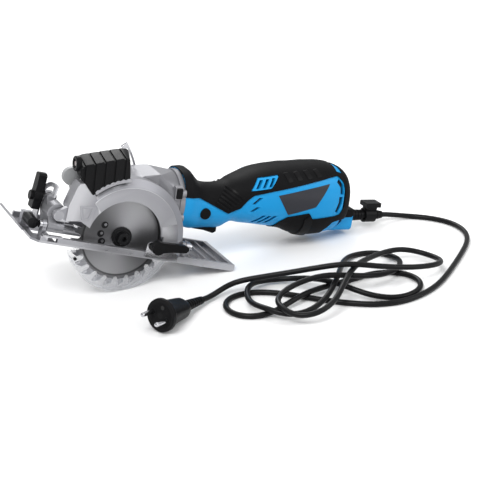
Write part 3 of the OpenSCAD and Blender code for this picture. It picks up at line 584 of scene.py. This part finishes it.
def make_plug():
    """Contour plug: X runs back from the pins' face."""
    form = [(0, 16.6, 16.6, 2.0), (0.6, 17.6, 17.6, 2.0), (4.6, 17.9, 17.9, 2.0), (5.4, 17.2, 17.0, 2.0),
            (5.6, 14.5, 13.4, 2.2), (9, 14.2, 12.4, 2.6), (16, 13.2, 11.0, 3.0), (24, 12.2, 10.0, 3.2),
            (33, 11.3, 9.2, 3.2), (38, 10.6, 8.6, 3.0), (40, 9.2, 7.8, 2.6), (41, 6.8, 6.6, 2.4),
            (41.4, 6.4, 6.2, 2.2)]
    body = loft("plug_body", [ring(x, 0, 0, w, h, e) for x, w, h, e in form], "plastic", PLUG, "head",
                40, 0.5)
    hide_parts("cord_plug")
    parts = [body]
    face = [(0.2, 0.01), (-0.35, 9), (-0.35, 13.4), (0.1, 14.6), (0.8, 15)]
    parts.append(lathe("plug_insert", face[::-1], (0, 0, 0), (1, 0, 0), "grip", "head", PLUG, 40, 0))
    steps = []
    for i in range(7):
        x, r = 41 + i * 4.3, 6.3 - i * 0.3
        steps += [(x, r - 0.9), (x + 0.3, r), (x + 2.9, r - 0.1), (x + 3.2, r - 0.95)]
    steps += [(PLUG_LEN - 0.4, 4.2), (PLUG_LEN, 3.7)]
    parts.append(lathe("plug_relief", steps, (0, 0, 0), (1, 0, 0), "plastic", "head", PLUG, 32, 0))
    pin = [(-19, 0.8), (-18.6, 1.7), (-17.6, 2.3), (-16.6, 2.4), (0.5, 2.4)]
    for i, y in enumerate((-PIN_Y, PIN_Y)):
        parts.append(lathe(f"plug_pin_{i}", pin, (0, y, 0), (1, 0, 0), "bright", "head", PLUG, 32, 0))
        parts.append(lathe(f"plug_sleeve_{i}", [(-0.2, 2.5), (-0.5, 3.6), (0.4, 3.8)], (0, y, 0), (1, 0, 0),
                           "plastic", "head", PLUG, 32, 0))
        parts.append(lathe(f"plug_socket_{i}", [(-0.6, 0.02), (-0.6, 2.2), (0.2, 2.4)], (0, 0, -y),
                           (1, 0, 0), "inner", "head", PLUG, 24, 0))
    return parts


cord, cord_len = make_cord()
plug_parts = make_plug()


def make_relief():
    """Ribbed strain relief at the tool's end."""
    profile = [(292, 6.9)]
    for i in range(10):
        x, less = 309 + i * 4.1, i * 0.16
        profile += [(x, 6.9 - less), (x + 2.9, 6.85 - less), (x + 3.1, 6.0 - less), (x + 4.1, 6.0 - less)]
    profile += [(350, 4.9), (BOOT_END - 0.5, 4.5), (BOOT_END, 4.0)]
    boot = lathe("strain_relief", profile, (0, MID_Y, BOOT_Z), (1, 0, 0), "plastic", "head", HEAD, 40, 0)
    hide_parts("cord_boot")


make_relief()

# ---------- motor housing ----------
# stations of the surface: X, centre height, half height, half width, squareness
STATIONS = [(71, 35.2, 32.8, 30.6, 2.6), (81, 35.2, 33, 30.6, 2.6), (88, 31, 30.8, 28, 2.5),
            (97, 26.8, 26.8, 25.2, 2.3), (112, 25.2, 25.2, 24, 2.2), (126, 25.9, 25.6, 24, 2.2),
            (133, 29.2, 24.8, 24.5, 2.2), (138, 32.1, 24.9, 25.5, 2.3), (150, 34.1, 27.9, 29, 2.4),
            (164, 36.4, 31.4, 31.5, 2.5), (180, 37.2, 34.3, 33, 2.5), (200, 37.5, 36.5, 34, 2.6),
            (217, 35, 40, 34.5, 2.6), (236, 34, 42.5, 35, 2.6), (256, 34.5, 42, 34.5, 2.6),
            (269, 34.5, 40, 33, 2.6), (275, 34.5, 38, 31.8, 2.6), (279, 34.5, 36.5, 30.5, 2.6),
            (285.5, 34, 31, 27, 2.5), (289, 34, 24, 22, 2.4)]
SHELL_END = 289
# across the tool in Y: right through, and into the near and the far side
THROUGH, NEAR_CUT, FAR_CUT = (-20, 80), (-12, 12), (48, 72)
SKIN_POINTS, SKIN_STEP = 88, 2.5


def station(x):
    """Smooth section of the housing at x: centre height, half height, half width, squareness."""
    s = STATIONS
    i = max(0, min(len(s) - 2, next((k for k in range(len(s) - 1) if x <= s[k + 1][0]), len(s) - 2)))
    x0, x1 = s[i][0], s[i + 1][0]
    t = (x - x0) / (x1 - x0)
    out = []
    for c in range(1, 5):
        d1 = (s[i + 1][c] - s[i][c]) / (x1 - x0)
        d0 = (s[i][c] - s[i - 1][c]) / (x0 - s[i - 1][0]) if i else d1
        d2 = (s[i + 2][c] - s[i + 1][c]) / (s[i + 2][0] - x1) if i + 2 < len(s) else d1
        m0, m1 = (0 if d0 * d1 < 0 else (d0 + d1) / 2), (0 if d1 * d2 < 0 else (d1 + d2) / 2)
        if c == 4:
            m0 = m1 = d1
        h = x1 - x0
        out.append(s[i][c] * (1 + 2 * t) * (1 - t) ** 2 + m0 * h * t * (1 - t) ** 2
                   + s[i + 1][c] * t * t * (3 - 2 * t) + m1 * h * t * t * (t - 1))
    return out


def skin(x0, x1, grow):
    """Sections of the housing's surface from x0 to x1, grown outwards."""
    count = max(2, int((x1 - x0) / SKIN_STEP))
    out = []
    for i in range(count + 1):
        x = x0 + (x1 - x0) * i / count
        cz, h, w, e = station(min(x, SHELL_END))
        out.append(ring(x, MID_Y, cz, w + grow, h + grow, e, SKIN_POINTS))
    return out


def housing_solid(name, x0, x1, grow, mat="blue"):
    """Solid in the form of the housing from x0 to x1, grown outwards."""
    return loft(name, skin(x0, x1, grow), mat, HEAD, None)


# outline of the blue side panel, X and Z, the same on both sides
PANEL = [(60, 44), (72, 44), (89, 42.6), (110, 32), (129, 22.3), (142, 29), (149, 39), (156, 45.4),
         (175, 50), (213, 57.6), (254, 66.3), (265, 68), (273, 60.7), (276, 50.6), (277, 32.3),
         (272, 22.5), (264, 20.3),
         (235, 17.3), (229, 25.1), (202, 19.9), (193, 12.5), (186, -12), (60, -12)]
CHIN = [(256, -14), (256, 0), (264, 12), (272, 14.4), (303, 17), (303, -14)]
VENT = [(152, 49.5), (162, 64), (188, 68.4), (177, 53.8)]


def shear_slot(a, b, w):
    """Parallelogram slot from a to b, w wide along X."""
    return [(a[0] - w / 2, a[1]), (a[0] + w / 2, a[1]), (b[0] + w / 2, b[1]), (b[0] - w / 2, b[1])]


SLOTS = [shear_slot((157, 35), (165, 43), 4.6), shear_slot((156, 26), (163.5, 32), 4.6),
         shear_slot((161, 10.5), (173, 21.5), 4.4), shear_slot((169, 10.5), (180, 21), 4.4),
         shear_slot((177, 11), (187, 21), 4.4)]
REAR_SLOTS = [[(264.5, 26), (268.8, 24), (273, 36), (272.6, 44), (267.6, 44), (267.8, 37)],
              [(269, 46.5), (274, 46.5), (272.8, 57.5), (266.6, 64.5), (263.4, 61), (268.2, 55)]]
VENT_SLOTS = [shear_slot((159.6 + i * 7.6, 52.8 + i * 1.3), (165.4 + i * 7.6, 62.2 + i * 1.4), 3.9)
              for i in range(3)]


def both_sides(outline):
    """Cutters that reach into the near side and the far side."""
    return [prism(outline, *NEAR_CUT), prism(outline, *FAR_CUT)]


def make_housing():
    """Blue shell over a dark liner, with the black grip, the vent panels and the side plates on it."""
    blue = housing_solid("blue_shell", 71, 275, 0.0)
    for lo, hi in (NEAR_CUT, FAR_CUT):
        boolean(blue, strips(SLOTS + REAR_SLOTS + [rounded(s, 0.8) for s in VENT_SLOTS], lo, hi))
    boolean(blue, prism([(91, -6), (131, -6), (131, 11), (91, 11)], 20.5, 39.5))
    dress(blue, "blue", 30, 0)
    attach(blue, "head")
    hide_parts("housing_near", "housing_far")
    liner = housing_solid("dark_liner", 74, 272, -3.2, "inner")
    boolean(liner, prism([(88, -8), (134, -8), (134, 13), (88, 13)], 18, 42))
    dress(liner, "inner", 30)
    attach(liner, "head")
    black = housing_solid("soft_shell", 71, SHELL_END, 1.2, "grip")
    boolean(black, prism(rounded(PANEL, 1.6), *THROUGH))
    boolean(black, prism(CHIN, *THROUGH))
    for c in both_sides(rounded(VENT, 1.5)):
        boolean(black, c)
    # window of the shell's blue at the top rear
    boolean(black, prism([(265.5, 9), (273.5, 9), (273.5, 56), (265.5, 56)], 66, 90, "Z"))
    dress(black, "grip", 30, 0.35)
    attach(black, "head")
    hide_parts("grip_near", "grip_far", "under_grip", "end_cap")
    vent = housing_solid("vent_panel", 148, 192, 1.7)
    keep = prism(rounded([(153.2, 50.4), (162.4, 63.2), (186.6, 67.4), (176.4, 54.6)], 1.5), *THROUGH)
    boolean(vent, keep, "INTERSECT")
    boolean(vent, prism([(140, 0), (200, 0), (200, 100), (140, 100)], 8, 52))
    boolean(vent, strips([rounded(s, 0.8) for s in VENT_SLOTS], *THROUGH))
    dress(vent, "blue", 30, 0.2)
    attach(vent, "head")
    decal = housing_solid("side_plate", 180, 260, 0.45, "decal")
    plate = rounded([(186, 46), (253, 59.6), (236.6, 32.4), (202, 22.6)], 1.2)
    boolean(decal, prism(plate, *THROUGH), "INTERSECT")
    boolean(decal, prism([(170, 0), (270, 0), (270, 100), (170, 100)], 10, 50))
    dress(decal, "decal", 30, 0)
    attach(decal, "head")


def make_chin():
    """The chin under the cord: a blue lower part and a black upper part."""
    chin_top = prism([(250, 13), (266, 13), (299, 13.3), (302, 16), (302, 40), (250, 40)], *THROUGH)
    lower = refined("cord_chin", "blue", 0.0)
    upper = lower.copy()
    upper.data = lower.data.copy()
    upper.name = "chin_upper"
    scene.collection.objects.link(upper)
    keep = chin_top.copy()
    keep.data = chin_top.data.copy()
    scene.collection.objects.link(keep)
    boolean(lower, chin_top)
    boolean(upper, keep, "INTERSECT")
    dress(lower, "blue", 30, 0.5)
    dress(upper, "grip", 30, 0.4)
    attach(upper, "head")


make_housing()
make_chin()

# ---------- laser box on the guard ----------
# centre of the guard's outer arc, and radius of its window
RIDGE, WINDOW_R = (3.5, -1), 43
# outlines of the box at its near and far end
NEAR_BOX = [(-57.3, 80), (-52, 83), (-7.8, 91.3), (-3.6, 90), (-1.3, 69.6), (-1.3, 58), (-41, 50),
            (-50, 62), (-57.6, 73)]
FAR_BOX = [(-56, 86.5), (-50, 89.6), (-5, 97), (2.5, 95.8), (5, 90), (5, 58), (-40, 50), (-50, 64),
           (-57.8, 77)]
BOX_LO, BOX_HI = -12, 13
RIBS = (-53, -42, -31, -20, -9)


def box_ring(y, inset):
    """Outline of the laser box at y, drawn in by inset."""
    t = (y - BOX_LO) / (BOX_HI - BOX_LO)
    pts = [(a[0] * (1 - t) + b[0] * t, a[1] * (1 - t) + b[1] * t) for a, b in zip(NEAR_BOX, FAR_BOX)]
    cx, cz = sum(p[0] for p in pts) / len(pts), sum(p[1] for p in pts) / len(pts)
    pts = [(cx + (x - cx) * (1 - inset / 26), cz + (z - cz) * (1 - inset / 17)) for x, z in pts]
    return [(x, y, z) for x, z in rounded(pts, 3.2, 5)]


def disc(x, z, r, n):
    turns = [2 * math.pi * k / n for k in range(n)]
    return [(x + r * math.cos(a), z + r * math.sin(a)) for a in turns]


def make_laser():
    """The box, with grooves across its near side and its top."""
    steps = [(-12, 1.5), (-11.6, 0.7), (-10.8, 0.1), (-10, 0), (0, 0), (10.5, 0), (12.2, 0.6), (13, 1.8)]
    box = loft("laser_box", [box_ring(y, i) for y, i in steps], "plastic", HEAD, None)
    boolean(box, prism(disc(*RIDGE, 68.3, 180), -20, 20))
    for x in RIBS:
        near, far = 82 + 0.194 * (x + 57), 89.3 + 0.16 * (x + 55)
        boolean(box, prism([(-14, 40), (-10.8, 40), (-10.8, near - 1.2), (13.2, far - 1.4), (13.2, far + 9),
                            (-14, far + 9)], x - 1.3, x + 1.3, "X"))
    dress(box, "plastic", 32, 0.9)
    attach(box, "head")
    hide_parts("laser_housing")


make_laser()


def rim_outline():
    """Arc on the guard's ridge from 93 to 128 degrees, with a scalloped outer edge."""
    inner, outer = [], []
    for k in range(57):
        a = math.radians(93 + 35 * k / 56)
        for r, out in ((66.5, inner), (69.4 + 1.1 * abs(math.sin(math.pi * k / 8)), outer)):
            out.append((RIDGE[0] + r * math.cos(a), RIDGE[1] + r * math.sin(a)))
    return inner + outer[::-1]


def face_ring(a0, a1, inner_r, outer_r, n=72):
    """Flat band round the guard's window: inner edge about the blade, outer edge about the ridge."""
    turns = [math.radians(a0 + (a1 - a0) * k / n) for k in range(n + 1)]
    inner = [(inner_r * math.cos(a), inner_r * math.sin(a)) for a in turns]
    outer = [(RIDGE[0] + outer_r * math.cos(a), RIDGE[1] + outer_r * math.sin(a)) for a in turns]
    return inner + outer[::-1]


solid("guard_band", face_ring(17, 134, WINDOW_R + 0.2, 59.2), -10.4, -9.6, "guard", "head", bevel=0.45)
solid("laser_rim", rim_outline(), -12.6, -9.5, "guard", "head", bevel=0.3)

# ---------- metal parts with their edges broken ----------
refined("upper_guard", bevel=0.5)
refined("gear_case", bevel=0.5)
EDGES = (("gear_cover", 0.5), ("bearing_plate", 0.4), ("dust_port", 0.5), ("trigger", 0.7),
         ("lock_button", 0.6), ("spindle_lock", 0.6), ("depth_quadrant", 0.35), ("pivot_pin", 0.3),
         ("bevel_lever", 0.8), ("depth_knob", 0.5), ("base_plate", 0.4), ("bevel_quadrant", 0.3),
         ("bevel_screws", 0.3), ("side_bracket", 0.3), ("side_lever", 0.7), ("fence_knob", 0.4),
         ("outer_flange", 0.4), ("arbor_bolt", 0.3), ("saw_blade", 0.0), ("lower_guard", 0.3),
         ("hex_key_holder", 0.5), ("laser_switch", 0.4), ("case_screws", 0.2))
for node, width in EDGES:
    refined(node, bevel=width)
refined("front_carrier", "case", 0.6)
refined("rear_bracket", "case", 0.4)


def make_guard_mark():
    """Raised frame on the guard's face."""
    hole = rounded([(-50.4, 36.2), (-40, 35.2), (-44.2, 25), (-48.6, 25.5)], 0.6)
    outline = rounded([(-54, 39.2), (-35.6, 37.4), (-42.7, 21.6), (-50.8, 22.5)], 1)
    solid("guard_mark", outline, -10.6, -9.8, "guard", "head", bevel=0.2,
          cuts=[prism(hole, -12, -8)])


def make_blade_spots():
    """Dark round spots on the blade beside its bolt."""
    for i, (x, z, r) in enumerate(((-20.3, 14, 3.9), (-24.1, 4.3, 3.9), (-22.4, -4.7, 4.1))):
        solid(f"blade_spot_{i}", disc(x, z, r, 40), -0.95, 0.2, "dark", "blade", bevel=0.0)
        solid(f"blade_spot_rim_{i}", disc(x + 0.9, z + 0.4, r * 0.42, 24), -1.05, -0.9, "steel", "blade",
              bevel=0.0)


def make_lens():
    """Round bezel at the front of the laser box, with its red window."""
    at = (-60.4, 1, 82)
    frame_profile = [(1.4, 0.01), (1.4, 4.4), (0, 5.2), (0, 7.2), (0.7, 8.1), (5.5, 8.5)]
    bezel = lathe("laser_bezel", frame_profile, at, (1, 0, 0), "plastic", "head")
    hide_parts("laser_lens")
    lathe("laser_window", [(1.1, 0.01), (0.9, 2.6), (1.6, 3.2)], at, (1, 0, 0), "red", "head")


make_guard_mark()
make_blade_spots()
make_lens()

# slanted ribs on both sides of the neck
RIB_LOW, RIB_HIGH = ((111.6, 34), (129.5, 54)), ((127.3, 24.5), (147.5, 42.2))
RIB_COUNT = 6


def make_ribs():
    bars = []
    for i in range(RIB_COUNT):
        t = (i + 0.3) / RIB_COUNT
        a = [RIB_LOW[0][k] + (RIB_LOW[1][k] - RIB_LOW[0][k]) * t for k in (0, 1)]
        b = [RIB_HIGH[0][k] + (RIB_HIGH[1][k] - RIB_HIGH[0][k]) * t for k in (0, 1)]
        bars.append([(a[0], a[1]), (b[0], b[1]), (b[0] + 1.4, b[1] + 1.6), (a[0] + 1.4, a[1] + 1.6)])
    ribs = housing_solid("neck_ribs", 106, 156, 2.2, "grip")
    boolean(ribs, strips(bars, *THROUGH), "INTERSECT")
    boolean(ribs, prism([(100, 0), (160, 0), (160, 100), (100, 100)], 22, 38))
    dress(ribs, "plastic", 30, 0.25)
    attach(ribs, "head")


def make_clip():
    """Clip on the black band under the grip."""
    clip = housing_solid("band_clip", 222, 236, 2.6, "grip")
    outline = rounded([(224, -12), (224, 18), (230, 21.5), (234.5, 16), (234.5, -12)], 1.5)
    boolean(clip, prism(outline, *THROUGH), "INTERSECT")
    dress(clip, "plastic", 30, 0.5)
    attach(clip, "head")


def make_emboss():
    """Four raised bars on top of the rear grip."""
    marks = housing_solid("grip_emboss", 186, 246, 1.7, "grip")
    bars = []
    for i in range(4):
        x = i * 13
        bars.append(rounded([(194 + x, 70 + i * 1.2), (200 + x, 71 + i * 1.2), (204 + x, 62 + i * 1.8),
                             (198 + x, 61 + i * 1.8)], 1.2))
    boolean(marks, strips(bars, *THROUGH), "INTERSECT")
    dress(marks, "plastic", 30, 0.2)
    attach(marks, "head")


make_ribs()
make_clip()
make_emboss()

# ---------- bare CAD nodes get their finish ----------
for node, ob in frame["nodes"].items():
    for slot_ in ob.material_slots:
        slot_.material = M[SLOT_MAT[SLOT_OF[node]]]
    if not ob.material_slots:
        ob.data.materials.append(M[SLOT_MAT[SLOT_OF[node]]])
